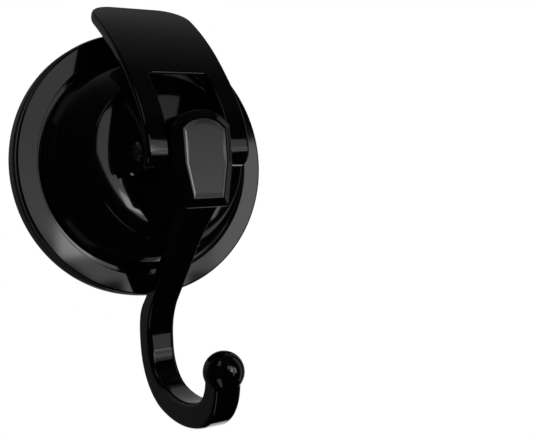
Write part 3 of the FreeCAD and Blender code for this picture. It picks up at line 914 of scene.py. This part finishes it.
camera_data = bpy.data.cameras.new("camera")
camera_data.sensor_width = 36.0
camera_data.lens = 58.81
camera_data.clip_start = 0.01
camera = bpy.data.objects.new("camera", camera_data)
camera.location = (-0.11542, -0.26593, -0.02044)
right = np.array([0.8495, -0.5232, -0.0681])
ahead = np.array([0.5244, 0.8515, 0.0])
ahead = ahead - right * (ahead @ right) / (right @ right)
right, ahead = right / np.linalg.norm(right), ahead / np.linalg.norm(ahead)
upward = np.cross(right, ahead)
camera.rotation_euler = mathutils.Matrix(np.column_stack([right, upward, -ahead]).tolist()).to_euler()
bpy.context.collection.objects.link(camera)
bpy.context.scene.camera = camera

# Studio
# A dark tent with soft boxes in front on the right, as gloss black is photographed: the gloss mirrors
# the boxes and little else. A dim screen behind draws thin lines on the edges. A pale floor lies
# below. Places here are in metres and angles in degrees.

tent_reach = 0.42
screen_reach = 0.41
box_depth = -0.30
floor_radius = 0.9
floor_height = -0.45


def tent_part(turns, rises, reach):
    """A part of a sphere. A turn is 0 at the front and grows to the right, and a rise grows upwards.

    x is reach times the sine of the turn times the cosine of the rise, -y that cosine times the
    turn's cosine, and z reach times the rise's sine.
    """
    turn = np.radians(np.linspace(*turns, 49))
    rise = np.radians(np.linspace(*rises, 33))[:, None]
    x = np.sin(turn) * np.cos(rise)
    y = -np.cos(turn) * np.cos(rise)
    return reach * np.stack([x, y, np.sin(rise) + 0 * turn], axis=-1)


tent = surface("studio_tent", [(tent_part((-180, 180), (-89, 89), tent_reach), False, False)])
tent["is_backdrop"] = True
tent.visible_camera = False
tent.visible_diffuse = False
tent.visible_shadow = False
tent.visible_transmission = False


def ramp(tree, output, low, high, from_value, to_value):
    """A node that passes evenly from one value to another while its input goes from low to high."""
    return add_node(
        tree, "ShaderNodeMapRange", {"Value": output},
        From_Min=low, From_Max=high, To_Min=from_value, To_Max=to_value,
    ).outputs["Result"]


def joined(tree, operation, first, second):
    """Two outputs joined by an operation."""
    return add_node(tree, "ShaderNodeMath", {0: first, 1: second}, operation=operation).outputs["Value"]


# Black felt that catches some stray light: from above on the right, more so to the back, and from
# behind on the left.
felt = bpy.data.materials.new("black felt in stray light")
felt.use_nodes = True
tree = felt.node_tree
tree.nodes.clear()
place = add_node(tree, "ShaderNodeTexCoord")
parts = add_node(tree, "ShaderNodeSeparateXYZ", {"Vector": place.outputs["Object"]})
high_up = ramp(tree, parts.outputs["Z"], 0.235, 0.335, 0.0, 1.0)
to_back = ramp(tree, parts.outputs["Y"], -0.08, 0.21, 0.02, 0.15)
to_right = ramp(tree, parts.outputs["X"], -0.2, 0.12, 0.15, 1.0)
from_above = joined(tree, "MULTIPLY", high_up, joined(tree, "MULTIPLY", to_back, to_right))
behind = ramp(tree, parts.outputs["Y"], 0.13, 0.33, 0.0, 0.14)
not_low = ramp(tree, parts.outputs["Z"], -0.12, 0.08, 0.4, 1.0)
to_left = ramp(tree, parts.outputs["X"], -0.1, 0.12, 1.0, 0.0)
from_behind = joined(tree, "MULTIPLY", behind, joined(tree, "MULTIPLY", not_low, to_left))
stray = joined(tree, "ADD", from_above, from_behind)
glow = add_node(tree, "ShaderNodeEmission", {"Strength": stray})
add_node(tree, "ShaderNodeOutputMaterial", {"Surface": glow.outputs["Emission"]})
tent.data.materials.append(felt)


def card(name, grid, strength, low_strength=None, heights=(0.0, 1.0)):
    """A glowing sheet that the camera doesn't see and that casts no shadow. A strength of 1 is white.

    Where it has a low strength, it passes evenly from that to the other between two heights.
    """
    panel = surface(name, [(grid, False, False)])
    panel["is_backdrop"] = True
    panel.visible_camera = False
    panel.visible_shadow = False
    cloth = bpy.data.materials.new(name + " cloth")
    cloth.use_nodes = True
    tree = cloth.node_tree
    tree.nodes.clear()
    glow = add_node(tree, "ShaderNodeEmission", Strength=strength)
    if low_strength is not None:
        place = add_node(tree, "ShaderNodeTexCoord")
        parts = add_node(tree, "ShaderNodeSeparateXYZ", {"Vector": place.outputs["Object"]})
        graded = ramp(tree, parts.outputs["Z"], *heights, low_strength, strength)
        tree.links.new(graded, glow.inputs["Strength"])
    add_node(tree, "ShaderNodeOutputMaterial", {"Surface": glow.outputs["Emission"]})
    panel.data.materials.append(cloth)


def sheet(places, lows, highs, depth):
    """An upright sheet: at each x, it spans from a low to a high z."""
    depths = np.full(len(places), depth)
    return np.stack([np.stack([places, depths, heights], axis=-1) for heights in (lows, highs)])


# The large box slants at its foot on the left. The others are upright rectangles, given by their low
# left and high right corners (x, z), how much nearer to the hook than that box they stand, and their
# strengths. A graded one has its low strength too, and the heights between which it passes.
left_box = sheet([-0.02, 0.081, 0.121], [0.036, -0.065, -0.065], [0.12, 0.12, 0.075], box_depth)
card("studio_box_left", left_box, 0.85, 1.3, (-0.06, 0.05))
boxes = (
    ("studio_box", (0.121, -0.012), (0.15, 0.047), 0, 0.85, 1.35, (-0.01, 0.045)),
    ("studio_box_top", (0.121, 0.047), (0.15, 0.095), 0, 0.42),
    ("studio_box_foot", (0.121, -0.065), (0.15, -0.012), 0, 0.8),
    ("studio_box_side", (0.15, -0.065), (0.185, 0.085), 0, 0.8, 1.4, (-0.06, 0.05)),
    ("studio_strip", (0.185, -0.10), (0.25, 0.04), 0, 2.0),
    ("studio_box_low", (0.105, -0.145), (0.16, -0.066), 0, 0.7),
    ("studio_tube_low", (0.105, -0.084), (0.16, -0.060), 0.001, 1.9),
    ("studio_tube_left", (0.088, 0.019), (0.113, 0.029), 0.002, 2.4),
    ("studio_tube_right", (0.158, 0.019), (0.185, 0.029), 0.002, 2.4),
    ("studio_tube", (0.084, -0.034), (0.097, 0.052), 0.004, 7.0),
    ("studio_lamp", (0.052, -0.044), (0.084, -0.014), 0.01, 5.0),
)
for name, low, high, nearer, *light in boxes:
    grid = sheet([low[0], high[0]], [low[1]] * 2, [high[1]] * 2, box_depth + nearer)
    card(name, grid, *light)

# Screens stand just inside the tent, given by their turns and rises, and their strengths.
screens = (
    ("studio_screen", (138, 172), (-30, 40), 0.30),
    ("studio_screen_low", (130, 172), (-56, -30), 1.2),
    ("studio_fill_high", (-62, -40), (32, 60), 0.6),
    ("studio_fill_low", (-62, -40), (-75, -34), 0.6),
    ("studio_fill_right", (66, 88), (-42, 40), 0.28),
    ("studio_fill_edge", (108, 122), (-42, 40), 0.22),
)
for name, turns, rises, strength in screens:
    card(name, tent_part(turns, rises, screen_reach), strength)

# The floor is a round sheet of matt paper.
reach = np.linspace(0, floor_radius, 12)[:, None]
turn = np.linspace(0, 2 * math.pi, 97)
disc = np.stack(np.broadcast_arrays(reach * np.cos(turn), reach * np.sin(turn), floor_height), axis=-1)
floor = surface("studio_floor", [(disc, False, False)])
floor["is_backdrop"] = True
paper, tree, shader = finish_for("pale studio paper")
shader.inputs["Base Color"].default_value = linear("#e9e9ea")
shader.inputs["Roughness"].default_value = 0.9
floor.data.materials.append(paper)

# The room is white to the camera and to gloss and glass, and a little dimmer where it lights.
world = bpy.data.worlds.new("white room")
bpy.context.scene.world = world
world.use_nodes = True
tree = world.node_tree
tree.nodes.clear()
path = add_node(tree, "ShaderNodeLightPath")
seen = joined(tree, "ADD", path.outputs["Is Camera Ray"], path.outputs["Is Glossy Ray"])
seen = joined(tree, "ADD", seen, path.outputs["Is Transmission Ray"])
strength = ramp(tree, seen, 0.0, 1.0, 0.9, 1.0)
room = add_node(tree, "ShaderNodeBackground", {"Strength": strength}, Color=(1, 1, 1, 1))
add_node(tree, "ShaderNodeOutputWorld", {"Surface": room.outputs["Background"]})

bpy.context.scene.view_settings.view_transform = "Standard"

low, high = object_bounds()
